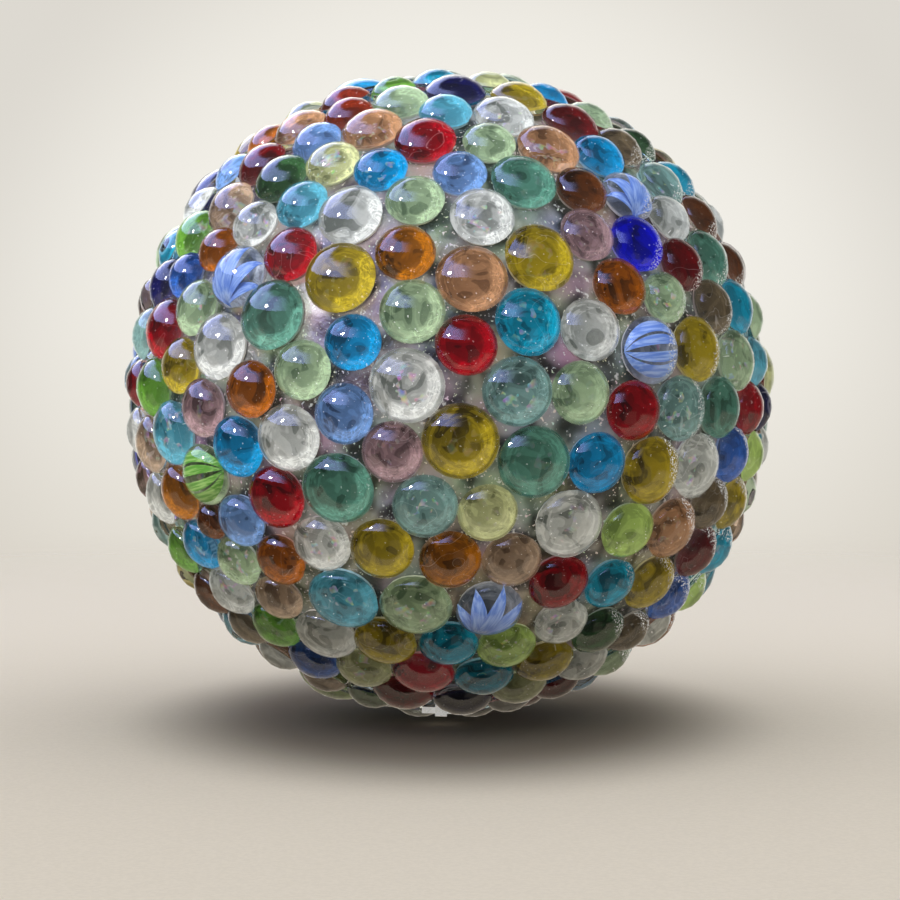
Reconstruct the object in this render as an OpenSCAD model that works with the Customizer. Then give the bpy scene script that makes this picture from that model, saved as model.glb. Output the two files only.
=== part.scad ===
// Ball of flat-backed glass marbles bonded all over a clear hollow globe.
// The origin is the globe's centre, +Z is up, and the side with the hand-laid pattern faces -Y.

/* [Globe] */
// Outside diameter of the clear globe that carries the marbles
globe_d = 184; // [165:1:215]
// Thickness of the globe's wall
globe_wall = 2.5; // [1.5:0.1:6]

/* [Marbles] */
// Thickness of a usual marble, from its flat back to the top of its dome
marble_h = 7.2; // [6:0.1:8.5]
// Diameter of a usual marble, at which it has the thickness above
usual_d = 18; // [15:0.5:22]
// Radius of the rounded rim round a marble's foot
rim_r = 2.3; // [2:0.05:2.6]
// Height of a marble's widest line over its flat back
rim_up = 1.8; // [1.4:0.05:1.9]
// Least room left between two marbles at their widest lines
marble_gap = 0.15; // [0.1:0.05:2]

/* [Glue] */
// Thickness of the clear glue under the middle of each marble
glue_t = 0.8; // [0.4:0.05:2]
// How far a dab of glue stops short of its marble's widest line
glue_inset = 0.5; // [0.4:0.05:2]

/* [Stub] */
// Width of the square clear stub near the bottom
stub_w = 3.6; // [2.5:0.1:5]
// How far the stub's end stands out from the globe
stub_out = 7; // [4:0.1:7.2]
// Thickness of the two lips beside the stub
lip_t = 1.8; // [1:0.1:3]
// How far the lips reach to the left of the stub
lip_left = 4; // [1:0.1:5]
// How far the lips reach to the right of the stub
lip_right = 3; // [1:0.1:4]
// How far the stub's end stands proud of the lips
lip_down = 0.8; // [0.2:0.1:3]

/* [Far side] */
// Diameter of the least marbles on the far side, before they grow into the room left
far_least = 15.5; // [14:0.1:17]
// Diameter of the greatest marbles on the far side, before they grow into the room left
far_most = 19.5; // [17.5:0.1:21]

/* [Hidden] */
$fn = 48;

globe_r = globe_d / 2;
// Distances from the ball's centre to a marble's flat back, its widest line and its middle
back_at = globe_r + glue_t;
widest_at = back_at + rim_up;
middle_at = back_at + marble_h / 2;
// The pattern sheet stands upright this far in front of the ball's centre, drawn for an eye
// at this distance from the centre
sheet_ahead = 134;
eye_far = 700;
// Lean from which the far side is laid, how far before it a marble may settle into a hollow,
// and the step by which it is moved back
far_from = 86;
far_reach = 9;
settle_step = 0.5;
far_growth = 1.1;
// Number of marbles that the far side has room for
far_mean = (far_least + far_most) / 2 + marble_gap;
far_count = floor(2 * PI * pow(widest_at, 2) * (1 + cos(far_from)) / (0.97 * pow(far_mean, 2)));
// Share that a hand-laid marble and a far one take in giving way
hand_give = 0.1;
far_give = 0.9;
// How often the marbles are eased apart, and how near a neighbour is, on a sphere of radius 1
easings = 12;
near_enough = 0.32;
// How far the dome is sunk, so that it meets the rim in one clean line
tuck = 0.02;
// A sphere this fine lies within a few thousandths of a millimetre of the true one
fine_fn = 360;

// Marbles of the near side: colour, place across and up on the pattern sheet, diameter
NEAR = [
    ["pale_green", 9.5, 64.5, 16], ["sky_blue", -17, 58.5, 15.5], ["slate_blue", 2.2, 56.5, 16],
    ["sea_green", 19, 55, 18.5],
    ["brown", 34, 53, 15.5], ["aqua", -37.5, 48.5, 16], ["clear", -24, 46, 19],
    ["pale_green", -7.5, 49.5, 17], ["clear", 8.5, 46, 18.5], ["mauve", 35, 40.5, 16],
    ["cobalt", 48, 39, 17.5], ["red", -40, 36, 16.5], ["orange", -10.5, 36, 17],
    ["olive", 22.5, 34.5, 19.5], ["blue_swirl", -54, 30, 18.5], ["olive", -27.5, 30, 20.5],
    ["peach", 6, 30, 20], ["amber", 44, 27.5, 16.5], ["pale_green", 56, 25.5, 15.5],
    ["sea_green", -45.5, 19, 20], ["pale_green", -9, 21, 18.5], ["teal", 20, 18.5, 18.5],
    ["clear", 36, 17, 17.5], ["clear", -58.5, 13, 20], ["sky_blue", -24, 14, 17],
    ["red", 4, 13, 17], ["blue_swirl", 52.5, 12, 19.5], ["pale_green", -36.5, 6, 18],
    ["amber", -51, 3, 17], ["clear", -11.5, 3, 20.5], ["pale_teal", 17, 1.5, 19.5],
    ["pale_green", 34, 0, 17.5], ["mauve", -63, -3, 16.5], ["pale_teal", 60, -2.5, 19],
    ["red", 48, -4, 17.5], ["slate_blue", -27.5, -6, 17], ["clear", -42, -10.5, 19],
    ["sky_blue", -55, -11.5, 17.5], ["olive", 3, -11, 21], ["mauve", -15, -14.5, 17],
    ["sky_blue", 39, -16.5, 17.5], ["sea_green", 22, -17, 20.5], ["olive", 53, -19, 19.5],
    ["sea_green", -29, -24, 20.5], ["red", -45, -25, 18], ["pale_teal", -7, -28, 18],
    ["lemon_green", 10, -30, 16.5], ["slate_blue", -52.5, -33, 16], ["clear", 31, -33, 20],
    ["light_green", 46, -34.5, 16.5], ["clear", -33, -39, 17], ["olive", -17, -39, 18],
    ["orange", 0, -42, 17.5], ["tan", 16, -42.5, 16.5], ["amber", -43, -44, 16],
    ["red", 28, -48.5, 17.5], ["teal", 42, -48.5, 15.5], ["aqua", -27, -53, 20],
    ["pale_green", -8, -54, 20], ["blue_swirl", 11, -56, 18.5], ["teal", 0, -64.5, 16.5]];

// Marbles round the rim of that side: colour, turn clockwise from the top, lean away from
// the eye, diameter
RIM = [
    ["navy", 1, 67.5, 18], ["lemon_green", 7, 77.5, 15.5], ["clear", 11.5, 57.5, 18.5],
    ["olive", 14, 67.5, 17.5], ["sky_blue", 18.5, 77.5, 15.5], ["peach", 22.5, 51.5, 18.5],
    ["garnet", 24.5, 65, 17.5], ["pale_green", 27.5, 76, 15.5], ["sky_blue", 32.5, 58.5, 16],
    ["smoke", 37, 67, 15.5], ["dark_green", 36.5, 77, 16], ["blue_swirl", 42, 53.5, 16.5],
    ["pale_teal", 46, 65, 17], ["teal", 46, 78, 16], ["clear", 51.5, 58, 15.5],
    ["brown", 54.5, 71, 16.5], ["garnet", 60.5, 53, 17], ["sea_green", 63.5, 63.5, 18],
    ["brown", 66, 74, 15.5], ["smoke", 71.5, 56, 17], ["teal", 74, 66.5, 17],
    ["olive", 79.7, 49, 18.5], ["pale_green", 83.5, 61.5, 18.5], ["sea_green", 92.5, 55, 18.5],
    ["red", 93, 67, 17], ["light_green", 101.5, 73, 16], ["royal_blue", 102, 62, 16.5],
    ["clear", 105.4, 50.8, 19], ["pale_green", 108.5, 79, 15], ["olive", 111, 68.5, 16.5],
    ["smoke", 112.5, 59, 16.5], ["peach", 120.5, 51.5, 18], ["garnet", 121.7, 63.5, 17],
    ["teal", 120.5, 75, 17], ["light_green", 129, 79.5, 16], ["royal_blue", 132, 67, 16.5],
    ["olive", 133.5, 56, 17.5], ["smoke", 142, 66.5, 15.5], ["dark_green", 147.5, 58.5, 17],
    ["clear", 153, 49.2, 16], ["pale_green", 149, 77, 16], ["clear", 153.5, 67.5, 16.5],
    ["garnet", 161.5, 76, 16], ["olive", 161, 60, 17.8], ["clear", 168.5, 80, 15],
    ["lemon_green", 166, 70, 17], ["light_green", 167, 50.5, 17], ["teal", 173.5, 60, 17.5],
    ["navy", 176.5, 71.5, 18], ["clear", 185.5, 57.5, 18.5], ["red", 188, 68.5, 18.5],
    ["pale_green", 195, 78, 15], ["olive", 194.1, 49.2, 18], ["lemon_green", 197, 60.5, 17],
    ["royal_blue", 206.5, 66, 17], ["clear", 207.5, 53.8, 18.5], ["leaf_green", 217.7, 61, 16.5],
    ["tan", 220, 51.5, 15.5], ["smoke", 221, 72, 16], ["clear", 227.5, 63.5, 16.5],
    ["brown", 230, 76, 15.5], ["pale_green", 232.3, 52.8, 15.5], ["leaf_green", 239, 73.5, 15.5],
    ["sky_blue", 238, 61, 16], ["brown", 242, 53.5, 11], ["orange", 249.5, 60.5, 16.5],
    ["clear", 250, 71, 16], ["green_swirl", 251.4, 49.2, 18], ["garnet", 254.5, 80, 15],
    ["tan", 260.5, 67.5, 17], ["aqua", 262.1, 56, 19], ["leaf_green", 271.1, 63.5, 17],
    ["garnet", 272.5, 75, 15], ["olive", 276.5, 54, 16.5], ["pale_teal", 281, 72, 16.5],
    ["red", 283, 62.2, 18], ["pale_green", 288.6, 51, 17], ["navy", 291, 69, 16.5],
    ["royal_blue", 293, 59, 15], ["mauve", 289.5, 79, 14.5], ["teal", 298, 77, 15],
    ["leaf_green", 301.5, 66, 16.5], ["amber", 302, 54.5, 14.5], ["tan", 310.6, 62, 16.5],
    ["clear", 311.8, 50, 15.5], ["slate_blue", 316.5, 74, 15], ["garnet", 320, 65, 16.5],
    ["dark_green", 322.5, 55, 17], ["peach", 331, 69.5, 17], ["slate_blue", 332.7, 59.5, 15],
    ["lemon_green", 332.9, 49.2, 16.5], ["flame", 341, 76.5, 16], ["flame", 340, 65.5, 15],
    ["peach", 343.4, 55.8, 17], ["leaf_green", 349.5, 75, 14], ["pale_green", 349.5, 64, 16.5],
    ["red", 354.5, 48, 18], ["teal", 357.5, 78, 15.5], ["aqua", 359.5, 58, 15.5],
    ["clear", 56.5, 81.5, 16], ["pale_green", 76, 77.5, 16], ["aqua", 84.5, 72.5, 15.5],
    ["navy", 92.5, 78, 15.5], ["clear", 99.5, 83.5, 16], ["amber", 114.5, 86, 15.5],
    ["clear", 139, 76.5, 15.5], ["sky_blue", 155.5, 84.5, 16.5], ["tan", 204, 76.5, 15],
    ["clear", 212.5, 77.5, 15], ["aqua", 221.5, 83, 16], ["olive", 235.5, 84.5, 16],
    ["pale_teal", 245.5, 82, 15.5], ["clear", 263.5, 77.5, 15.5], ["sky_blue", 272.5, 86, 16],
    ["clear", 307, 76, 15.5], ["amber", 324.5, 77, 15], ["lemon_green", 332.5, 80.5, 15],
    ["red", 166, 89, 15],
    // The three that the ball stands on, round its lowest point
    ["clear", 174.8, 86.9, 17], ["pale_green", 185.2, 86.9, 17], ["aqua", 180, 96.2, 17]];

// Colours of the far side, taken in turn
FAR_COLOURS = ["clear", "pale_green", "red", "aqua", "olive", "clear", "mauve", "sky_blue",
    "lemon_green", "sea_green", "peach", "clear", "teal", "amber", "pale_teal", "garnet",
    "clear", "cobalt", "royal_blue", "light_green", "tan", "slate_blue", "pale_green", "orange", "clear",
    "dark_green", "blue_swirl", "brown", "pale_green", "navy", "olive", "clear", "sky_blue",
    "leaf_green", "red", "pale_teal", "smoke", "peach", "flame", "green_swirl"];

// Unit vector for a turn clockwise from the top, as seen from the front, and a lean away
// from the line to the eye
function aim(turn, lean) = [sin(lean) * sin(turn), -cos(lean), sin(lean) * cos(turn)];

// Unit vector to the place on the ball that the eye sees at x across and z up on the sheet
function seen(x, z) =
    let (ray = [x, eye_far - sheet_ahead, z])
    let (along = ray * [0, eye_far, 0] / norm(ray))
    let (reach = along - sqrt(pow(along, 2) - pow(eye_far, 2) + pow(middle_at, 2)))
    ([0, -eye_far, 0] + reach * ray / norm(ray)) / middle_at;

// Half of a marble's width as it shows from the ball's centre, on a sphere of radius 1
function half(d) = d / 2 / widest_at;

// The marbles laid by hand: direction, diameter, colour, and how readily each gives way
HAND_LAID = concat(
    [for (m = NEAR) [seen(m[1], m[2]), m[3], m[0], hand_give]],
    [for (m = RIM) [aim(m[1], m[2]), m[3], m[0], hand_give]]);

// Diameter of the far marble with this number
function far_size(i) = far_least + (far_most - far_least) * pow(sin(i * 53), 2);

// A far marble is moved back along its turn until it has room behind those laid before it
function has_room(p, d, others) =
    min([for (m = others) norm(p - m[0]) - half(m[1])]) > half(d) + marble_gap / widest_at;
function settled(turn, lean, d, others) =
    lean > 180 ? 180 : has_room(aim(turn, lean), d, others) ? lean
    : settled(turn, lean + settle_step, d, others);

// Lean that the laying has safely passed when it comes to this number, and those behind it
function passed(i) = acos(max(-1, cos(far_from) - i * (1 + cos(far_from)) / far_count));
function behind(others, lean) = [for (m = others) if (-m[0][1] < cos(lean)) m];

// The far side is laid round and round, each marble beside the last and behind the row before
function lay_far(i, turn, others, far) =
    let (start = passed(i) - far_reach)
    let (d = far_size(i))
    let (lean = settled(turn, start, d, others))
    let (m = [aim(turn, lean), d, FAR_COLOURS[i % len(FAR_COLOURS)]])
    let (step = asin(min(1, (half(d) + half(far_size(i + 1))) / max(0.01, sin(lean)))))
    i >= far_count + 20 ? far
    : lean >= 180 ? lay_far(i + 1, turn + 47, others, far)
    : lay_far(i + 1, turn + step, behind(concat(others, [m]), start - 14), concat(far, [m]));
FAR_LAID = lay_far(0, 0, behind(HAND_LAID, far_from - far_reach - 14), []);
// They are laid a little apart and then grow into the room that is left
LAID = concat(HAND_LAID, [for (m = FAR_LAID) [m[0], m[1] * far_growth, m[2], far_give]]);

// Numbers of the marbles round each one
NEXT_TO = [for (i = [0 : len(LAID) - 1])
    [for (j = [0 : len(LAID) - 1]) if (j != i && norm(LAID[i][0] - LAID[j][0]) < near_enough) j]];

// Marbles that would overlap are eased apart, each by its share of the overlap
function push(m, n) =
    let (way = m[0] - n[0])
    let (short = half(m[1]) + half(n[1]) + marble_gap / widest_at - norm(way))
    way / norm(way) * max(0, short) * m[3] / (m[3] + n[3]);
function eased(all, times) = times == 0 ? all : eased([for (i = [0 : len(all) - 1])
    let (pushes = [for (j = NEXT_TO[i]) push(all[i], all[j])])
    let (moved = all[i][0] + [for (p = pushes) 1] * pushes)
    [moved / norm(moved), all[i][1], all[i][2], all[i][3]]], times - 1);
EASED = eased(LAID, easings);

// Direction of the stub, which leans forward and a little to the left of straight down
stub_lean = 11;
stub_aside = 1.3;
STUB_AIM = [-cos(stub_lean) * sin(stub_aside), -sin(stub_lean), -cos(stub_lean) * cos(stub_aside)];

// Share of its size that a marble keeps, so that it clears the stub and each of its neighbours
function beside_stub(m) =
    (norm(m[0] - STUB_AIM) - (stub_w * sqrt(0.5) + marble_gap) / widest_at) / half(m[1]);
function beside(m, n) =
    (norm(m[0] - n[0]) - marble_gap / widest_at) / (half(m[1]) + half(n[1]));
function share(m) = min(concat([1, beside_stub(m)],
    [for (n = EASED) if (n[0] != m[0] && norm(m[0] - n[0]) < near_enough) beside(m, n)]));
MARBLES = [for (m = EASED) [m[0], m[1] * share(m), m[2]]];

// Turns the Z axis to a direction out of the ball's centre and moves out along it
module out_along(p, r) {
    rotate([0, acos(p[2]), atan2(p[1], p[0])])
        translate([0, 0, r])
            children();
}

// One marble on its flat back: a rounded rim, and a dome that runs smoothly into it
module marble(d) {
    rim_x = d / 2 - rim_r;
    h = rim_up + rim_r + (marble_h - rim_up - rim_r) * d / usual_d;
    drop = h - rim_up;
    dome_r = (pow(rim_x, 2) + pow(drop, 2) - pow(rim_r, 2)) / (2 * (drop - rim_r));
    dome_z = h - dome_r;
    rotate_extrude()
        intersection() {
            union() {
                intersection() {
                    translate([0, dome_z - tuck])
                        circle(dome_r);
                    polygon([[0, 0], [rim_x, 0], [rim_x, rim_up],
                        [2 * rim_x, 2 * rim_up - dome_z], [0, 2 * h]]);
                }
                translate([rim_x, rim_up])
                    circle(rim_r);
            }
            square([d, 2 * h]);
        }
}

// All the marbles of one colour
module laid(colour) {
    for (m = MARBLES)
        if (m[2] == colour)
            out_along(m[0], back_at)
                marble(m[1]);
}

// Clear globe, hollow
module globe() {
    color([0.86, 0.88, 0.86, 0.5])
        difference() {
            sphere(globe_r);
            sphere(globe_r - globe_wall);
        }
}

// One dab of clear glue under each marble, between its flat back and the round globe
module glue_dabs() {
    color([0.9, 0.9, 0.88, 0.6])
        difference() {
            union() {
                for (m = MARBLES)
                    out_along(m[0], back_at - 2 * glue_t - 1)
                        cylinder(d = m[1] - 2 * glue_inset, h = 2 * glue_t + 1);
            }
            sphere(globe_r, $fn = fine_fn);
        }
}

// Clear square stub near the bottom, with a thin lip on either side of it
module stub() {
    color([0.92, 0.92, 0.9, 0.8])
        difference() {
            rotate([0, stub_aside, 0])
                rotate([180 - stub_lean, 0, 0])
                    union() {
                        translate([-stub_w / 2, -stub_w / 2, globe_r - 1])
                            cube([stub_w, stub_w, stub_out + 1]);
                        translate([-stub_w / 2 - lip_left, -lip_t / 2, globe_r + stub_out - lip_down - lip_t])
                            cube([lip_left + stub_w + lip_right, lip_t, lip_t]);
                    }
            sphere(globe_r, $fn = fine_fn);
        }
}

module clear_marbles() { color([0.80, 0.83, 0.82, 0.6]) laid("clear"); }
module pale_green_marbles() { color([0.66, 0.78, 0.66, 0.7]) laid("pale_green"); }
module lemon_green_marbles() { color([0.76, 0.78, 0.50, 0.7]) laid("lemon_green"); }
module light_green_marbles() { color([0.55, 0.70, 0.36, 0.7]) laid("light_green"); }
module leaf_green_marbles() { color([0.35, 0.62, 0.25, 0.7]) laid("leaf_green"); }
module dark_green_marbles() { color([0.12, 0.30, 0.18, 0.8]) laid("dark_green"); }
module sea_green_marbles() { color([0.10, 0.38, 0.34, 0.8]) laid("sea_green"); }
module pale_teal_marbles() { color([0.48, 0.66, 0.66, 0.7]) laid("pale_teal"); }
module teal_marbles() { color([0.06, 0.42, 0.50, 0.8]) laid("teal"); }
module aqua_marbles() { color([0.30, 0.65, 0.75, 0.7]) laid("aqua"); }
module sky_blue_marbles() { color([0.00, 0.52, 0.78, 0.8]) laid("sky_blue"); }
module royal_blue_marbles() { color([0.10, 0.25, 0.66, 0.9]) laid("royal_blue"); }
module cobalt_marbles() { color([0.02, 0.08, 0.72, 0.9]) laid("cobalt"); }
module navy_marbles() { color([0.03, 0.04, 0.28, 0.9]) laid("navy"); }
module slate_blue_marbles() { color([0.34, 0.46, 0.72, 0.8]) laid("slate_blue"); }
module red_marbles() { color([0.78, 0.02, 0.06, 0.9]) laid("red"); }
module garnet_marbles() { color([0.42, 0.01, 0.05, 0.9]) laid("garnet"); }
module flame_marbles() { color([0.76, 0.16, 0.05, 0.9]) laid("flame"); }
module orange_marbles() { color([0.88, 0.50, 0.02, 0.9]) laid("orange"); }
module amber_marbles() { color([0.66, 0.32, 0.02, 0.9]) laid("amber"); }
module brown_marbles() { color([0.36, 0.16, 0.06, 0.9]) laid("brown"); }
module smoke_marbles() { color([0.38, 0.30, 0.24, 0.8]) laid("smoke"); }
module olive_marbles() { color([0.55, 0.48, 0.08, 0.8]) laid("olive"); }
module peach_marbles() { color([0.78, 0.52, 0.36, 0.7]) laid("peach"); }
module tan_marbles() { color([0.70, 0.58, 0.48, 0.7]) laid("tan"); }
module mauve_marbles() { color([0.56, 0.42, 0.45, 0.7]) laid("mauve"); }
module blue_swirl_marbles() { color([0.45, 0.60, 0.90, 0.7]) laid("blue_swirl"); }
module green_swirl_marbles() { color([0.50, 0.75, 0.30, 0.7]) laid("green_swirl"); }

globe();
glue_dabs();
stub();
clear_marbles();
pale_green_marbles();
lemon_green_marbles();
light_green_marbles();
leaf_green_marbles();
dark_green_marbles();
sea_green_marbles();
pale_teal_marbles();
teal_marbles();
aqua_marbles();
sky_blue_marbles();
royal_blue_marbles();
cobalt_marbles();
navy_marbles();
slate_blue_marbles();
red_marbles();
garnet_marbles();
flame_marbles();
orange_marbles();
amber_marbles();
brown_marbles();
smoke_marbles();
olive_marbles();
peach_marbles();
tan_marbles();
mauve_marbles();
blue_swirl_marbles();
green_swirl_marbles();
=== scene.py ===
import math
import random

import bpy
from mathutils import Matrix, Vector


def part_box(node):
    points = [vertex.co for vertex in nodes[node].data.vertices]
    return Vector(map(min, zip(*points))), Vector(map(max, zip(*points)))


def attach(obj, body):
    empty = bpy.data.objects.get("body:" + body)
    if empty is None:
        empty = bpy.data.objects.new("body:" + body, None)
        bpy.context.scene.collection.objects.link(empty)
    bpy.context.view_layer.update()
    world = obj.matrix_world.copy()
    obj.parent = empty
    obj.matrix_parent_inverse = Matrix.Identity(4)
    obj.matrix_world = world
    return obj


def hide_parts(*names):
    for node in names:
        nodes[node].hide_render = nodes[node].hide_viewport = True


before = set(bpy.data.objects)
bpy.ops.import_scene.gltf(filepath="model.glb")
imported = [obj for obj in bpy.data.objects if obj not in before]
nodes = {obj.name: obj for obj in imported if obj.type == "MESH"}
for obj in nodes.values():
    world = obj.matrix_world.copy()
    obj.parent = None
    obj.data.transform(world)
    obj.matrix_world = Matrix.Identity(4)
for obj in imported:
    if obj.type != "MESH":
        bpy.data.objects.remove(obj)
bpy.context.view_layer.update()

# ---------------------------------------------------------------- the globe
# The ball is built on a clear hollow globe. It hardly shows: the marbles and the glue between
# them cover it all over, and it only gives the gaps their grey-green depth.


def srgb(red, green, blue):
    """A colour given as a screen shows it, 0 to 255, as Blender's own numbers."""
    levels = [v / 255 for v in (red, green, blue)]
    return [v / 12.92 if v < 0.04 else ((v + 0.055) / 1.055) ** 2.4 for v in levels] + [1.0]


class Wire:
    """A socket in a material. Sums on it add Math nodes, and node() adds any other node."""

    def __init__(self, tree, socket=None):
        self.tree = tree
        self.socket = socket

    def node(self, kind, settings=None, sockets=None, out=0):
        made = self.tree.nodes.new("ShaderNode" + kind)
        for name, value in (settings or {}).items():
            setattr(made, name, value)
        for name, value in (sockets or {}).items():
            if isinstance(value, Wire):
                self.tree.links.new(value.socket, made.inputs[name])
            else:
                made.inputs[name].default_value = value
        return Wire(self.tree, made.outputs[out])

    def other(self, out):
        """Another output of the node that this one belongs to."""
        return Wire(self.tree, self.socket.node.outputs[out])

    def math(self, operation, *values):
        return self.node("Math", {"operation": operation}, dict(enumerate(values)))

    def __add__(self, other):
        return self.math("ADD", self, other)

    def __radd__(self, other):
        return self.math("ADD", other, self)

    def __sub__(self, other):
        return self.math("SUBTRACT", self, other)

    def __rsub__(self, other):
        return self.math("SUBTRACT", other, self)

    def __mul__(self, other):
        return self.math("MULTIPLY", self, other)

    def __rmul__(self, other):
        return self.math("MULTIPLY", other, self)

    def step(self, low, high):
        """0 where this is under low, 1 where it is over high, and smooth between them."""
        return self.node("MapRange", {"interpolation_type": "SMOOTHSTEP"},
                         {"Value": self, "From Min": low, "From Max": high})

    def blend(self, first, second, how="MIX", share=None):
        """Two colours mixed, this much of the second one, or a plain share of it."""
        return self.node("Mix", {"data_type": "RGBA", "blend_type": how, "clamp_factor": True},
                         {0: self if share is None else share, 6: first, 7: second}, 2)

    def vector(self, operation, *values, out=0):
        return self.node("VectorMath", {"operation": operation}, dict(enumerate(values)), out)

    def noise(self, place, scale, detail=2.0, rough=0.5, twist=0.0, out=0):
        return self.node("TexNoise", None, {"Vector": place, "Scale": scale, "Detail": detail,
                                            "Roughness": rough, "Distortion": twist}, out)

    def attribute(self, name, out="Fac"):
        return self.node("Attribute", {"attribute_name": name}, None, out)

    def own_place(self):
        """Each point's place on the ball, in metres."""
        return self.node("TexCoord", out="Object")


def new_finish(name):
    """An empty material, and the wire that its nodes are added with."""
    finish = bpy.data.materials.new(name)
    finish.use_nodes = True
    finish.node_tree.nodes.clear()
    return finish, Wire(finish.node_tree)


def close_finish(start, shader):
    """The material ends in this shader."""
    end = start.tree.nodes.new("ShaderNodeOutputMaterial")
    start.tree.links.new(shader.socket, end.inputs["Surface"])


def give(piece, finish):
    """The piece takes this material and no other."""
    piece.data.materials.clear()
    piece.data.materials.append(finish)


globe_finish, w = new_finish("globe_clear")
place = w.own_place()
clouds = w.noise(place, 60.0, 3.0)
bump = w.node("Bump", None, {"Strength": 0.2, "Distance": 0.0004, "Height": w.noise(place, 260.0, 3.0)})
close_finish(w, w.node("BsdfPrincipled", None, {
    "Base Color": clouds.step(0.35, 0.7).blend(srgb(120, 128, 118), srgb(168, 172, 160)),
    "Roughness": 0.25, "IOR": 1.47, "Normal": bump}))
give(nodes["globe"], globe_finish)

# ---------------------------------------------------------------- one marble
# Each marble is a gob of glass that set on a flat plate: a flat back, a rounded rim and a dome
# pulled up by the glass's own skin. One is modelled here, the usual size, and the rest copy it.

USUAL_R = 0.009
SEGMENTS = 24
# Radius and height of each ring of its side, from the flat back up, in metres
RINGS = ((0.00813, 0.0), (0.00900, 0.0018), (0.00846, 0.0033), (0.00640, 0.0052), (0.00330, 0.0067))
MARBLE_TOP = 0.0072


def nothing_selected():
    """An operator acts on all that is selected, so this comes before each new piece."""
    if bpy.context.mode != "OBJECT":
        bpy.ops.object.mode_set(mode="OBJECT")
    bpy.ops.object.select_all(action="DESELECT")


nothing_selected()
bpy.ops.mesh.primitive_circle_add(vertices=SEGMENTS, radius=RINGS[0][0], fill_type="NGON")
pattern_marble = bpy.context.object
pattern_marble.name = "pattern_marble"
bpy.ops.object.mode_set(mode="EDIT")
bpy.ops.mesh.select_all(action="SELECT")
for (r0, z0), (r1, z1) in zip(RINGS, RINGS[1:]):
    bpy.ops.mesh.extrude_region_move(TRANSFORM_OT_translate={"value": (0, 0, z1 - z0)})
    bpy.ops.transform.resize(value=(r1 / r0, r1 / r0, 1))
bpy.ops.mesh.poke(offset=MARBLE_TOP - RINGS[-1][1])
bpy.ops.mesh.select_all(action="SELECT")
bpy.ops.mesh.normals_make_consistent(inside=False)
bpy.ops.object.mode_set(mode="OBJECT")
bpy.ops.object.shade_smooth_by_angle(angle=math.radians(50))


def write_places(piece, radius, height):
    """Each point's place in its own marble, so that a pattern follows the glass."""
    places = piece.data.attributes.new("place", "FLOAT_VECTOR", "POINT")
    for point, value in zip(piece.data.vertices, places.data):
        value.vector = (point.co.x / radius, point.co.y / radius, point.co.z / height)


write_places(pattern_marble, USUAL_R, MARBLE_TOP)

# The lamp that stands for the sun, seen from the ball. Each marble's own x axis points away from it.
TO_KEY = Vector((-0.70, -0.48, 0.53)).normalized()


def own_axes(out):
    """The axes of a marble that stands out along this direction."""
    away = TO_KEY.project(out) - TO_KEY
    if away.length < 0.02:
        away = out.orthogonal()
    away.normalize()
    return Matrix((away, out.cross(away), out)).transposed()


def measured(node):
    """Direction, radius, foot and top of each marble in a CAD node."""
    nothing_selected()
    split = bpy.data.objects.new("split", nodes[node].data.copy())
    bpy.context.scene.collection.objects.link(split)
    split.select_set(True)
    bpy.context.view_layer.objects.active = split
    bpy.ops.object.mode_set(mode="EDIT")
    bpy.ops.mesh.select_all(action="SELECT")
    bpy.ops.mesh.remove_doubles(threshold=1e-6)
    bpy.ops.mesh.separate(type="LOOSE")
    bpy.ops.object.mode_set(mode="OBJECT")
    found = []
    for part in list(bpy.context.selected_objects):
        middle = Vector()
        for face in part.data.polygons:
            middle += face.center * face.area
        out = middle.normalized()
        ups = [p.co.dot(out) for p in part.data.vertices]
        sides = [(p.co - out * up).length for p, up in zip(part.data.vertices, ups)]
        found.append((out, max(sides), min(ups), max(ups)))
        mesh = part.data
        bpy.data.objects.remove(part)
        bpy.data.meshes.remove(mesh)
    return sorted(found, key=lambda m: tuple(round(c, 5) for c in m[0]))


def copy_of(pattern, out, wide, tall, foot, seed, uneven=0.0, spin=0.0):
    """A copy of a modelled piece with its own mesh, set on the ball."""
    axes = own_axes(out) @ Matrix.Rotation(spin, 3, "Z")
    turn = Matrix.Rotation(seed * math.tau, 3, "Z")
    oval = turn @ Matrix.Diagonal((1 + uneven, 1 - uneven, 1)) @ turn.transposed()
    shape = axes @ oval @ Matrix.Diagonal((wide, wide, tall))
    piece = bpy.data.objects.new(pattern.name, pattern.data.copy())
    piece.data.transform(Matrix.Translation(out * foot) @ shape.to_4x4())
    # What its material reads: a number of its own, how much it faces the lamp, how far round to
    # the right of the front it is, and how far each point is to the right of its middle
    rightness = max(0.0, out.x) if out.y < 0 else 0.0
    alike = {"seed": seed, "lit": max(0.0, TO_KEY.dot(out)), "rightness": rightness}
    values = {name: [value] * len(piece.data.vertices) for name, value in alike.items()}
    rightwards = (Vector((1, 0, 0)) - out * out.x).normalized()
    values["beside"] = [point.co.dot(rightwards) / (wide * USUAL_R) for point in piece.data.vertices]
    for name, numbers in values.items():
        layer = piece.data.attributes.new(name, "FLOAT", "POINT")
        layer.data.foreach_set("value", numbers)
    bpy.context.scene.collection.objects.link(piece)
    return piece


def joined(pieces, name):
    """Copies made one object, in which each is still a shape of its own."""
    nothing_selected()
    for piece in pieces:
        piece.select_set(True)
    bpy.context.view_layer.objects.active = pieces[0]
    bpy.ops.object.join()
    pieces[0].name = name
    return pieces[0]


# ---------------------------------------------------------------- the colours of glass
# The marbles are sorted by colour, as they come from the bag. Each colour has the tint of its
# glass, and the dark and the bright shade that the glue under it takes.

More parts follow.
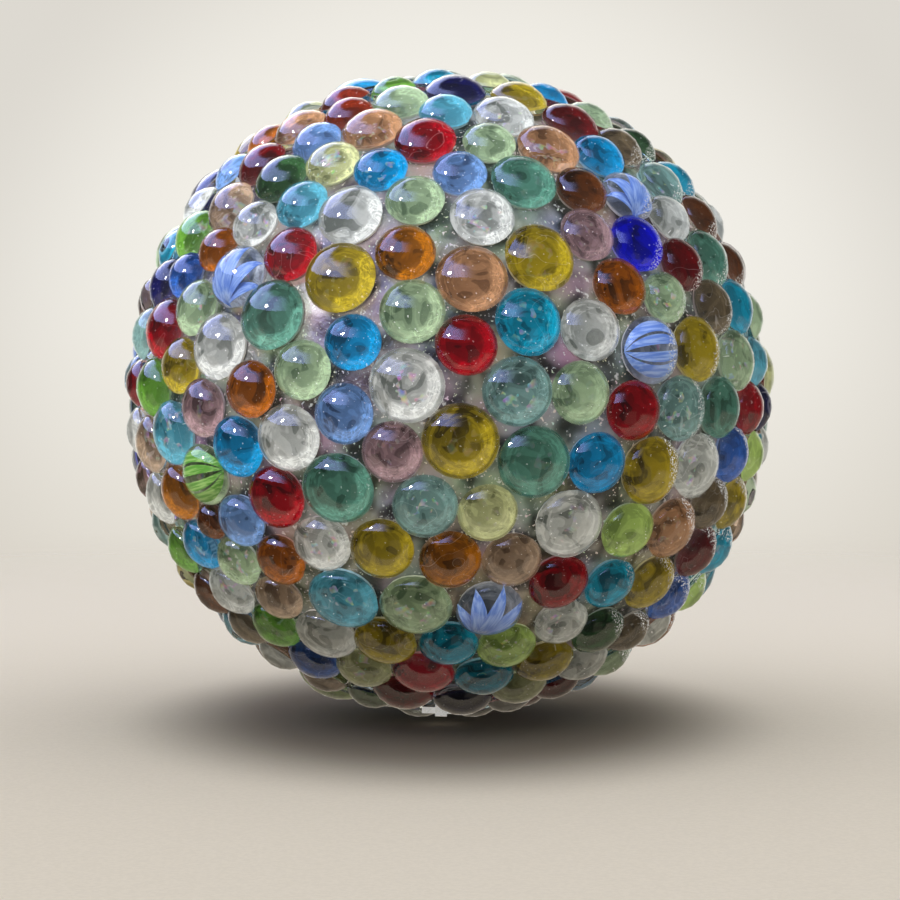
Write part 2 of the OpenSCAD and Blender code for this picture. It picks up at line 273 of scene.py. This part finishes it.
GLASS = {
    "clear": (srgb(240, 243, 241), srgb(90, 95, 90), srgb(236, 238, 232)),
    "pale_green": (srgb(222, 238, 214), srgb(74, 92, 72), srgb(190, 212, 174)),
    "lemon_green": (srgb(238, 242, 206), srgb(96, 100, 70), srgb(228, 232, 178)),
    "light_green": (srgb(214, 236, 178), srgb(100, 118, 64), srgb(200, 226, 132)),
    "leaf_green": (srgb(170, 215, 130), srgb(50, 82, 28), srgb(124, 178, 70)),
    "dark_green": (srgb(130, 176, 140), srgb(12, 30, 18), srgb(62, 102, 62)),
    "sea_green": (srgb(150, 196, 178), srgb(28, 54, 44), srgb(112, 168, 150)),
    "pale_teal": (srgb(186, 218, 214), srgb(56, 76, 74), srgb(150, 186, 180)),
    "teal": (srgb(96, 204, 228), srgb(2, 62, 76), srgb(12, 182, 210)),
    "aqua": (srgb(170, 222, 234), srgb(38, 86, 98), srgb(112, 196, 216)),
    "sky_blue": (srgb(90, 190, 232), srgb(2, 62, 84), srgb(4, 176, 228)),
    "royal_blue": (srgb(100, 140, 220), srgb(10, 30, 60), srgb(66, 126, 204)),
    "cobalt": (srgb(60, 80, 235), srgb(0, 2, 66), srgb(4, 14, 226)),
    "navy": (srgb(60, 66, 150), srgb(1, 2, 22), srgb(8, 9, 80)),
    "slate_blue": (srgb(176, 196, 232), srgb(44, 62, 86), srgb(138, 182, 232)),
    "red": (srgb(212, 46, 66), srgb(40, 0, 6), srgb(170, 0, 28)),
    "garnet": (srgb(180, 50, 60), srgb(26, 0, 3), srgb(112, 0, 12)),
    "flame": (srgb(214, 112, 70), srgb(50, 12, 2), srgb(132, 46, 18)),
    "orange": (srgb(236, 190, 96), srgb(40, 22, 0), srgb(176, 112, 0)),
    "amber": (srgb(216, 158, 84), srgb(34, 17, 0), srgb(176, 102, 4)),
    "brown": (srgb(160, 104, 66), srgb(28, 14, 5), srgb(112, 64, 22)),
    "smoke": (srgb(180, 166, 148), srgb(38, 32, 22), srgb(132, 118, 92)),
    "olive": (srgb(206, 194, 110), srgb(54, 46, 6), srgb(196, 176, 40)),
    "peach": (srgb(236, 204, 178), srgb(74, 52, 34), srgb(198, 156, 116)),
    "tan": (srgb(232, 214, 200), srgb(72, 58, 46), srgb(192, 170, 144)),
    "mauve": (srgb(214, 194, 200), srgb(56, 42, 44), srgb(176, 148, 150)),
    "blue_swirl": (srgb(232, 238, 246), srgb(96, 104, 110), srgb(206, 214, 224)),
    "green_swirl": (srgb(230, 240, 222), srgb(96, 106, 84), srgb(198, 214, 178)),
}


WHITE = [1, 1, 1, 1]
# In the photo the marbles stand rim to rim, so each is drawn this much wider than its solid
FULLER = 1.03
# The most that a marble is out of round, as a share of its width
OUT_OF_ROUND = 0.025


def lets_light_in(w, glass, tint):
    """Lamps shine through the glass, tinted, as they do through real glass, with no noise."""
    rays = w.node("LightPath")
    passing = w.math("MAXIMUM", rays.other("Is Shadow Ray"), rays.other("Is Diffuse Ray"))
    through = w.node("BsdfTransparent", None, {"Color": [min(1.0, c ** 0.45) for c in tint[:3]] + [1.0]})
    return w.node("MixShader", None, {0: passing, 1: glass, 2: through})


def glass_finish(colour):
    """Clear glass, tinted half as deep as its colour because the glue under it has the rest."""
    tint = [(c + 1.0) / 2 for c in GLASS[colour][0][:3]] + [1.0]
    finish, w = new_finish(colour + "_glass")
    place = w.attribute("place", "Vector")
    seed = w.attribute("seed")
    spot = w.vector("ADD", place, w.node("CombineXYZ", None, {0: seed * 37, 1: seed * 19, 2: seed * 53}))
    streaks = w.noise(spot, 1.1, 1.5, 0.5, 1.0)
    deep = [c ** 1.6 for c in tint[:3]] + [1.0]
    body = (streaks.step(0.4, 0.7) * 0.5).blend(tint, deep)
    bump = w.node("Bump", None, {"Strength": 0.06, "Distance": 0.0006, "Height": w.noise(spot, 1.7, 1.0)})
    glass = w.node("BsdfPrincipled", None, {
        "Base Color": body, "Roughness": 0.02, "IOR": 1.5, "Transmission Weight": 1.0, "Normal": bump})
    # Small bright glints, a painted reflection, are put in the shoulder of most marbles on the right
    beside = w.attribute("beside")
    drift = (w.noise(spot, 3.0, 2.0) - 0.5) * 0.5
    rightness = w.attribute("rightness")
    shoulder = (beside + drift + rightness * 0.7).step(0.66, 0.84) * (1 - beside.step(0.80, 0.92))
    shoulder = shoulder * rightness.step(0.38, 0.5) * seed.step(0.15, 0.30) * (1 - rightness.step(0.88, 0.96))
    glint_specks = w.noise(spot, 19.0, 1.0).step(0.555, 0.61) * shoulder
    # A pale finish that glows a little, for the painted glints
    glint_shader = w.node("BsdfPrincipled", None, {"Base Color": srgb(238, 238, 232), "Roughness": 0.4,
                                             "Emission Color": WHITE, "Emission Strength": 0.2})
    seeded = w.node("MixShader", None, {0: glint_specks * 0.75, 1: glass, 2: glint_shader})
    close_finish(w, lets_light_in(w, seeded, tint))
    return finish


luck = random.Random(7)
marbles = []
for colour in GLASS:
    node = colour + "_marbles"
    copies = []
    for out, radius, foot, top in measured(node):
        seed = luck.random()
        marbles.append((colour, out, radius, foot, top, seed))
        copies.append(copy_of(pattern_marble, out, radius / USUAL_R * FULLER, (top - foot) / MARBLE_TOP,
                              foot, seed, OUT_OF_ROUND * luck.random()))
    piece = joined(copies, colour + "_marble_set")
    give(piece, glass_finish(colour))
    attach(piece, "root")
    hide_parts(node)
    colour + "_glass"
bpy.data.objects.remove(pattern_marble)

# ---------------------------------------------------------------- the ribbons
# The swirl marbles are clear, with ribbons of milky colour that were folded into the glass. In
# some, leaf-shaped ribbons meet at one point of the rim; in others, bands arch from side to side.

RIBBON_THICK = 0.00016
# Lean in degrees of a leaf's edges, and where the leaves meet, across and up from the flat back
LEAF_EDGES = ((-1, 18),)
LEAVES_MEET = (-0.0072, 0, 0.0008)
# Turn in degrees from the middle one, length, width scale and rise of each leaf
RIBBON_LEAVES = ((-58, 0.0098, 0.0072, 0.0030), (-30, 0.0132, 0.0086, 0.0042), (-2, 0.0146, 0.0078, 0.0048),
                 (26, 0.0128, 0.0088, 0.0044), (54, 0.0096, 0.0074, 0.0032))
# Lean in degrees to either side of the edges of the bands, and their reach, width and rise
RIBBON_BANDS = ((7, 30), (36, 78))
BANDS_SIZE = (0.0078, 0.0072, 0.0048, 1)


def arching(edges):
    """Strips of a round shell, all from one pole at the left to the other at the right."""
    nothing_selected()
    bpy.ops.mesh.primitive_uv_sphere_add(segments=48, ring_count=16, radius=1.0)
    shell = bpy.context.object
    shell.data.transform(Matrix.Rotation(math.radians(90), 4, "Y"))
    bpy.ops.object.mode_set(mode="EDIT")
    bpy.ops.mesh.select_all(action="DESELECT")
    bpy.ops.object.mode_set(mode="OBJECT")
    for face in shell.data.polygons:
        lean = abs(math.degrees(math.atan2(face.center.y, face.center.z)))
        face.select = not any(low < lean < high for low, high in edges)
    bpy.ops.object.mode_set(mode="EDIT")
    bpy.ops.mesh.delete(type="FACE")
    bpy.ops.object.mode_set(mode="OBJECT")
    write_places(shell, 1.0, 1.0)
    return shell


def walled(shell):
    """The strips given their thickness."""
    wall = shell.modifiers.new("wall", "SOLIDIFY")
    wall.thickness = RIBBON_THICK
    nothing_selected()
    shell.select_set(True)
    bpy.context.view_layer.objects.active = shell
    bpy.ops.object.modifier_apply(modifier=wall.name)
    bpy.ops.object.shade_smooth_by_angle(angle=math.radians(40))
    return shell


leaf = arching(LEAF_EDGES)
leaves = []
for turn, length, half, rise in RIBBON_LEAVES:
    copy = bpy.data.objects.new("leaf", leaf.data.copy())
    copy.data.transform(Matrix.Translation(LEAVES_MEET) @ Matrix.Rotation(math.radians(turn), 4, "Z")
                        @ Matrix.Diagonal((length / 2, half, rise, 1)) @ Matrix.Translation((1, 0, 0)))
    bpy.context.scene.collection.objects.link(copy)
    leaves.append(copy)
bpy.data.objects.remove(leaf)
pattern_leaves = walled(joined(leaves, "pattern_leaves"))
pattern_bands = arching(RIBBON_BANDS)
pattern_bands.data.transform(Matrix.Translation((0, 0, 0.0010)) @ Matrix.Diagonal(BANDS_SIZE))
walled(pattern_bands)


def turned_down(out, aside):
    """The turn that brings the left end of a ribbon to the foot of its marble, or aside of it."""
    axes = own_axes(out)
    return math.atan2(-axes.col[1].z, -axes.col[0].z) - math.pi + math.radians(aside)


# One with bands looks out at the right of the front
BANDED = Vector((0.588, -0.799, 0.128))
RIBBONS = {"blue_swirl": (srgb(108, 142, 218), srgb(158, 186, 238)),
           "green_swirl": (srgb(106, 168, 72), srgb(166, 212, 122))}
for colour, (deep, pale) in RIBBONS.items():
    copies = []
    for kind, out, radius, foot, top, seed in marbles:
        if kind == colour:
            banded = seed > 0.6 or out.dot(BANDED) > 0.99
            spin = turned_down(out, 80 + seed * 20 if banded else seed * 50 - 30)
            copies.append(copy_of(pattern_bands if banded else pattern_leaves, out, radius / USUAL_R,
                                  (top - foot) / MARBLE_TOP, foot, seed, spin=spin))
    piece = joined(copies, colour + "_ribbon_set")
    finish, w = new_finish(colour + "_ribbon")
    lengthwise = w.vector("MULTIPLY", w.attribute("place", "Vector"), Vector((0.6, 7.0, 2.0)))
    veins = w.noise(lengthwise, 1.6, 1.5)
    bump = w.node("Bump", None, {"Strength": 0.2, "Distance": 0.0002, "Height": veins})
    close_finish(w, w.node("BsdfPrincipled", None, {
        "Base Color": veins.step(0.38, 0.66).blend(deep, pale), "Roughness": 0.45, "IOR": 1.2,
        "Normal": bump}))
    give(piece, finish)
    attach(piece, "root")
    colour + "_glass"
bpy.data.objects.remove(pattern_leaves)
bpy.data.objects.remove(pattern_bands)

# ---------------------------------------------------------------- the glue
# Clear glue holds each marble by its back. Light that the dome gathers falls on it, so it is
# dark on the side of the lamp and bright on the far side, in the colour of the glass over it.

DAB_R = 0.0080
DAB_THICK = 0.0008
# How far a dab stays within the marble's widest line, and rises into its flat back
DAB_IN = 0.0008
DAB_UP = 0.00008
nothing_selected()
bpy.ops.mesh.primitive_circle_add(vertices=20, radius=DAB_R, fill_type="NGON")
pattern_dab = bpy.context.object
pattern_dab.name = "pattern_dab"
bpy.ops.object.mode_set(mode="EDIT")
bpy.ops.mesh.select_all(action="SELECT")
bpy.ops.mesh.extrude_region_move(TRANSFORM_OT_translate={"value": (0, 0, DAB_THICK)})
bpy.ops.mesh.inset(thickness=0.0012, depth=0.00002)
bpy.ops.mesh.poke(offset=0.0)
bpy.ops.mesh.select_all(action="SELECT")
bpy.ops.mesh.normals_make_consistent(inside=False)
bpy.ops.object.mode_set(mode="OBJECT")
write_places(pattern_dab, DAB_R, DAB_THICK)

# A clear marble low at the front lies over the edge of a red one, which shows through it
OVER_RED = Vector((-0.073, -0.537, -0.840))
RED_SHADES = (srgb(58, 12, 30), srgb(226, 40, 60))
dabs = []
for colour, out, radius, foot, top, seed in marbles:
    dab = copy_of(pattern_dab, out, (radius - DAB_IN) / DAB_R, 1.0, foot - DAB_THICK + DAB_UP, seed)
    shades = GLASS[colour][1:] if out.dot(OVER_RED) < 0.996 else RED_SHADES
    for name, shade in zip(("dark", "bright"), shades):
        layer = dab.data.attributes.new(name, "FLOAT_COLOR", "POINT")
        layer.data.foreach_set("color", shade * len(layer.data))
    dabs.append(dab)
dab_set = joined(dabs, "glue_dab_set")
bpy.data.objects.remove(pattern_dab)

dab_finish, w = new_finish("glue_under_marbles")
place = w.attribute("place", "Vector")
seed = w.attribute("seed")
lit = w.attribute("lit")
dark = w.attribute("dark", "Color")
bright = w.attribute("bright", "Color")
spot = w.vector("ADD", place, w.node("CombineXYZ", None, {0: seed * 31, 1: seed * 47, 2: seed * 23}))
x = w.node("SeparateXYZ", None, {0: place}, "X")
y = x.other("Y")
middle = w.math("SQRT", x * x + y * y)
wave = w.noise(spot, 0.9, 1.5) - 0.5
ripple = w.noise(spot, 2.6, 3.0) - 0.5
grain = w.noise(spot, 8.0, 4.0, 0.7)
fold = w.noise(spot, 1.25, 1.0, 0.4, 1.6)
# Rings: the dome bends what lies behind it into arcs about its middle
round_it = w.vector("NORMALIZE", w.vector("MULTIPLY", place, Vector((1, 1, 0))))
round_it = w.vector("MULTIPLY", round_it, Vector((1.3, 1.3, 0)))
rings = w.vector("ADD", round_it, w.node("CombineXYZ", None, {0: seed * 31, 1: seed * 47, 2: middle * 8}))
arcs = w.noise(rings, 1.4, 2.0).step(0.50, 0.58) * middle.step(0.35, 0.6)
lines = w.noise(rings, 2.6, 2.0, 0.5, 0.6).step(0.46, 0.54)
web = 1 - w.math("ABSOLUTE", w.noise(spot, 3.0, 2.0, 0.55, 0.9) - 0.5).step(0.0, 0.05)
across = x + wave * 0.9 + ripple * 0.2
reach = middle + ripple * 0.2
# The body of the glass, darker towards the lamp and lighter away from it
body = across.step(-1.1, 1.1) * 0.36 + arcs * 0.22 + fold.step(0.55, 0.60) * 0.16 + (grain - 0.5) * 0.2
body = body + 0.12 - (1 - fold.step(0.39, 0.44)) * 0.22 + middle.step(0.70, 0.85) * 0.12
body = w.math("MINIMUM", w.math("MAXIMUM", body, 0.0), 1.0)
shade = body.blend(dark, bright)
# The crescent of gathered light, with its lines and sparks
crescent = across.step(0.04, 0.24) * reach.step(0.46, 0.58) * (1 - reach.step(0.80, 0.90)) * (lit * 1.1 + 0.1)
crescent = w.math("MINIMUM", crescent * (0.30 + lines * 0.35 + web * 0.6), 1.0)
# Some marbles have a fine bright thread of a flaw, and all have a painted dark ring of shade near the edge
# and a painted bright highlight at the rim
thread = 1 - w.math("ABSOLUTE", w.noise(spot, 1.0, 1.0, 0.5, 1.2) - 0.5).step(0.0, 0.009)
thread = thread * seed.step(0.5, 0.7)
edge = middle.step(0.82, 0.88) * (1 - middle.step(0.90, 0.94))
lip = middle.step(0.94, 0.97)
# Other marbles show through pale glass in small specks of colour
pale = w.vector("LENGTH", dark, out=1).step(0.02, 0.12)
confetti = w.noise(spot, 4.0, 1.0).step(0.58, 0.62) * (1 - middle.step(0.35, 0.7))
confetti = confetti * seed.step(0.3, 0.5) * pale
shade = (confetti * 0.6).blend(shade, w.noise(spot, 7.0, 0.0, out="Color"))
shade = crescent.blend(shade, bright)
shade = (thread * 0.35).blend(shade, w.blend(bright, WHITE, share=0.45))
shade = (edge * 0.45).blend(shade, dark)
shade = (lip * 0.5).blend(shade, w.blend(bright, WHITE, share=0.5))
dots = w.noise(spot, 15.0, 0.0).step(0.80, 0.83) * (0.3 + pale * 0.5)
shade = w.math("MAXIMUM", crescent * grain.step(0.62, 0.70), dots).blend(shade, WHITE)
bump = w.node("Bump", None, {"Strength": 0.3, "Distance": 0.0003, "Height": grain})
close_finish(w, w.node("BsdfPrincipled", None, {
    "Base Color": shade, "Roughness": 0.5, "IOR": 1.3, "Normal": bump,
    "Emission Color": (crescent * (0.9 - pale * 0.5)).blend([0, 0, 0, 1], bright),
    "Emission Strength": 0.6}))
give(dab_set, dab_finish)
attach(dab_set, "root")
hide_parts("glue_dabs")

# The glue has run between the marbles too, in a wrinkled film over the whole globe
FILM_THICK = 0.0004
low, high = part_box("globe")
globe_r = (high.x - low.x) / 2
nothing_selected()
bpy.ops.mesh.primitive_ico_sphere_add(subdivisions=7, radius=globe_r + FILM_THICK)
film = bpy.context.object
film.name = "glue_film"
wrinkles = bpy.data.textures.new("wrinkles", "CLOUDS")
wrinkles.noise_scale = 0.006
wrinkles.noise_depth = 2
lift = film.modifiers.new("wrinkles", "DISPLACE")
lift.texture = wrinkles
lift.strength = 0.0010
lift.mid_level = 0.5
bpy.ops.object.modifier_apply(modifier=lift.name)
bpy.ops.object.shade_smooth()

film_finish, w = new_finish("glue_between_marbles")
place = w.own_place()
patches = w.noise(place, 120.0, 1.5, 0.5, 0.4)
tints = w.noise(place, 60.0, 1.0, out="Color")
fine = w.noise(place, 480.0, 3.0, 0.6, 0.2)
grey = patches.step(0.34, 0.66).blend(srgb(40, 40, 36), srgb(144, 146, 138))
# Soft coloured tints over the grey are painted light from the coloured marbles around
tinted = w.blend(grey, tints, "SOFT_LIGHT", share=0.8)
# Small sparks of coloured light, from the marbles around
sparks = w.noise(place, 1100.0, 1.0).step(0.66, 0.70)
spark = w.blend(w.noise(place, 300.0, 0.0, out="Color"), srgb(250, 246, 226), share=0.5)
tinted = (sparks * 0.8).blend(tinted, spark)
bump = w.node("Bump", None, {"Strength": 0.8, "Distance": 0.0007, "Height": fine})
# The small white specks on the glue are painted glints
close_finish(w, w.node("BsdfPrincipled", None, {
    "Base Color": (fine.step(0.62, 0.70) * 0.6).blend(tinted, srgb(236, 238, 236)),
    "Roughness": 0.42, "IOR": 1.5, "Coat Weight": 0.35, "Coat Roughness": 0.22, "Normal": bump}))
give(film, film_finish)
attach(film, "root")

# ---------------------------------------------------------------- the stub
# A square clear stub sticks out between the lowest marbles at the front, with a thin lip on
# either side: a moulding mark or plug of the globe. It is milky, scuffed plastic.

stub_finish, w = new_finish("stub_milky")
place = w.own_place()
scuffs = w.noise(place, 700.0, 4.0, 0.7)
bump = w.node("Bump", None, {"Strength": 0.4, "Distance": 0.0003, "Height": scuffs})
# It glows a little: painted light that keeps it bright in the shade under the ball
close_finish(w, w.node("BsdfPrincipled", None, {
    "Base Color": scuffs.step(0.4, 0.7).blend(srgb(232, 234, 230), srgb(250, 250, 250)),
    "Roughness": scuffs * 0.3 + 0.12, "IOR": 1.47, "Transmission Weight": 0.12, "Normal": bump,
    "Emission Color": srgb(240, 240, 236), "Emission Strength": 0.22}))
give(nodes["stub"], stub_finish)

# ---------------------------------------------------------------- the studio
# A pale floor, a backdrop that is lighter behind the ball, a small strong lamp high on the left,
# a bluish window light beside it, soft lights overhead, to the right and low at the front, and a
# black card behind the camera.

scene = bpy.context.scene
scene.view_settings.view_transform = "Standard"

FLOOR_Z = -0.0996
nothing_selected()
bpy.ops.mesh.primitive_circle_add(vertices=96, radius=9.0, fill_type="NGON", location=(0, 0, FLOOR_Z))
floor = bpy.context.object
floor.name = "floor"
bpy.ops.object.transform_apply(location=True)
floor_finish, w = new_finish("floor_pale")
place = w.own_place()
far_off = w.vector("LENGTH", place, out=1).step(0.30, 1.0)
dust = w.noise(place, 900.0, 3.0).step(0.3, 0.7).blend(srgb(232, 219, 197), srgb(237, 224, 202))
behind = w.node("SeparateXYZ", None, {0: place}, "Y").step(-0.25, 0.45)
# A shadow is painted on the floor under the ball, which makes its cast shadow deeper there
spread = w.vector("MULTIPLY", place, Vector((1.3, 0.9, 0)))
under = 1 - w.vector("LENGTH", spread, out=1).step(0.066, 0.138)
ground = w.node("BsdfPrincipled", None, {
    "Base Color": under.blend(behind.blend(dust, srgb(246, 234, 214)), srgb(143, 131, 114)),
    "Roughness": 0.9, "Specular IOR Level": 0.1})
# Far off it fades away, so that the backdrop goes on under the horizon
close_finish(w, w.node("MixShader", None, {0: far_off, 1: ground, 2: w.node("BsdfTransparent")}))
give(floor, floor_finish)
floor.visible_glossy = False

nothing_selected()
bpy.ops.mesh.primitive_plane_add(size=1.0)
card = bpy.context.object
card.name = "black_card"
card.data.transform(Matrix.Translation((0.05, -1.25, 0.12)) @ Matrix.Rotation(math.radians(90), 4, "X")
                    @ Matrix.Diagonal((0.75, 0.62, 1, 1)))
card_finish, w = new_finish("card_black")
close_finish(w, w.node("BsdfPrincipled", None, {"Base Color": srgb(38, 38, 40), "Roughness": 1.0}))
give(card, card_finish)
card.visible_camera = False
card.visible_shadow = False
card.visible_diffuse = False

world = bpy.data.worlds.new("studio")
scene.world = world
world.use_nodes = True
world.node_tree.nodes.clear()
w = Wire(world.node_tree)
facing = w.node("TexCoord", out="Generated")
halo = w.vector("DOT_PRODUCT", facing, Vector((0.0, 1.0, 0.0)), out=1)
behind = halo.step(math.cos(math.radians(13.5)), math.cos(math.radians(7.0)))
side = w.node("SeparateXYZ", None, {0: facing}, "X")
ahead = side.other("Y")
up = side.other("Z")
backdrop = behind.blend(srgb(221, 217, 209), srgb(242, 239, 231))
backdrop = up.step(-0.20, 0.08).blend(srgb(213, 206, 193), backdrop)
room = up.step(-0.1, 0.9).blend(srgb(150, 148, 146), srgb(176, 186, 206))
rays = w.node("LightPath")
seen = w.node("Background", None, {"Color": backdrop, "Strength": 1.0})
light = w.node("Background", None, {"Color": room, "Strength": 0.9})
# What the gloss shows: a dim room up to a ragged edge with blue sky over it, and under it pale
# sunlit ground, close by and ahead on the right
ragged = up + (w.noise(facing, 6.0, 2.0) - 0.5) * 0.07
sky = ragged.step(0.37, 0.41) * (1 - ragged.step(0.80, 0.92)) * (1 - side.step(-0.45, 0.35))
right = (side + ahead * 0.1).step(0.02, 0.05) * (1 - side.step(0.62, 0.70)) * (1 - ahead.step(-0.3, -0.1))
right = right * (1 - up.step(-0.10, -0.06)) * up.step(-0.75, -0.70) * 0.45
beyond = (1 - up.step(-0.30, -0.12)) * ahead.step(-0.56, -0.44)
paved = w.math("MAXIMUM", right, beyond)
bright_near = 0.15 + (1 - ahead.step(-0.4, 0.4)) * 0.85
mirror = sky.blend(srgb(84, 84, 78), srgb(166, 180, 250))
mirror = paved.blend(mirror, srgb(222, 208, 186))
# Bright haze behind the ball, which lights the thin rim of each marble
haze = ahead.step(0.45, 0.9) * (1 - paved)
mirror = haze.blend(mirror, srgb(232, 230, 222))
strength = sky * 6.0 + paved * bright_near * 0.9 + haze * 0.8 + 0.45
gloss = w.node("Background", None, {"Color": mirror, "Strength": strength})
glossy = w.node("MixShader", None, {0: rays.other("Is Glossy Ray"), 1: light, 2: gloss})
direct = w.math("MAXIMUM", rays.other("Is Camera Ray"), rays.other("Is Transmission Ray"))
mixed = w.node("MixShader", None, {0: direct, 1: glossy, 2: seen})
end = w.tree.nodes.new("ShaderNodeOutputWorld")
w.tree.links.new(mixed.socket, end.inputs["Surface"])


def lamp(name, at, size, power, colour, size_y=None):
    """A round light, or an oblong one, that points at the ball's middle."""
    data = bpy.data.lights.new(name, "AREA")
    data.shape = "RECTANGLE" if size_y else "DISK"
    data.size = size
    if size_y:
        data.size_y = size_y
    data.energy = power
    data.color = colour[:3]
    made = bpy.data.objects.new(name, data)
    made.location = at
    made.rotation_euler = (-Vector(at)).to_track_quat("-Z", "Y").to_euler()
    made.visible_camera = False
    made.visible_glossy = name == "key"
    scene.collection.objects.link(made)
    return made


key = lamp("key", TO_KEY * 1.6, 0.25, 10.4, srgb(255, 250, 242))
window = lamp("window", Vector((-0.42, -0.80, 0.86)) * 1.25, 0.95, 6.0, srgb(170, 184, 240), size_y=0.42)
top = lamp("top", (0.1, -0.1, 1.3), 0.9, 7.0, srgb(255, 252, 246))
fill = lamp("fill", (1.1, -0.75, 0.35), 0.6, 3.0, srgb(255, 250, 240))

off_floor = bpy.data.collections.new("not_on_the_floor")
off_floor.objects.link(floor)
for item in off_floor.collection_objects:
    item.light_linking.link_state = "EXCLUDE"
for light in (key, window, top, fill):
    light.light_linking.receiver_collection = off_floor
# The floor has a wide light of its own, which leaves a soft round shadow under the ball
floor_wash = lamp("floor_wash", (0, 0, 1.4), 3.4, 23.0, srgb(255, 253, 248))
only_floor = bpy.data.collections.new("the_floor")
only_floor.objects.link(floor)
floor_wash.light_linking.receiver_collection = only_floor
# Light comes back from the ground to the marbles low at the front
bounce = lamp("bounce", (0.05, -0.85, -0.09), 0.5, 1.3, srgb(246, 236, 220))
bounce.light_linking.receiver_collection = off_floor

# The camera stands level with the ball's middle and looks a little down, as in the photo
PICTURE_PX = 900.0
FOCAL_PX = 2265.0
SENSOR_MM = 36.0
# How far the ball's middle is above and to the left of the middle of the picture
MIDDLE_UP_PX = 56.0
MIDDLE_LEFT_PX = 1.75
CAMERA_FAR = 0.700
camera_data = bpy.data.cameras.new("camera")
camera_data.sensor_width = SENSOR_MM
camera_data.lens = FOCAL_PX / PICTURE_PX * SENSOR_MM
camera = bpy.data.objects.new("camera", camera_data)
camera.location = (0.0, -CAMERA_FAR, 0.0)
camera.rotation_euler = (math.radians(90.0) - math.atan(MIDDLE_UP_PX / FOCAL_PX), 0.0,
                         -math.atan(MIDDLE_LEFT_PX / FOCAL_PX))
scene.collection.objects.link(camera)
scene.camera = camera

bpy.context.view_layer.update()
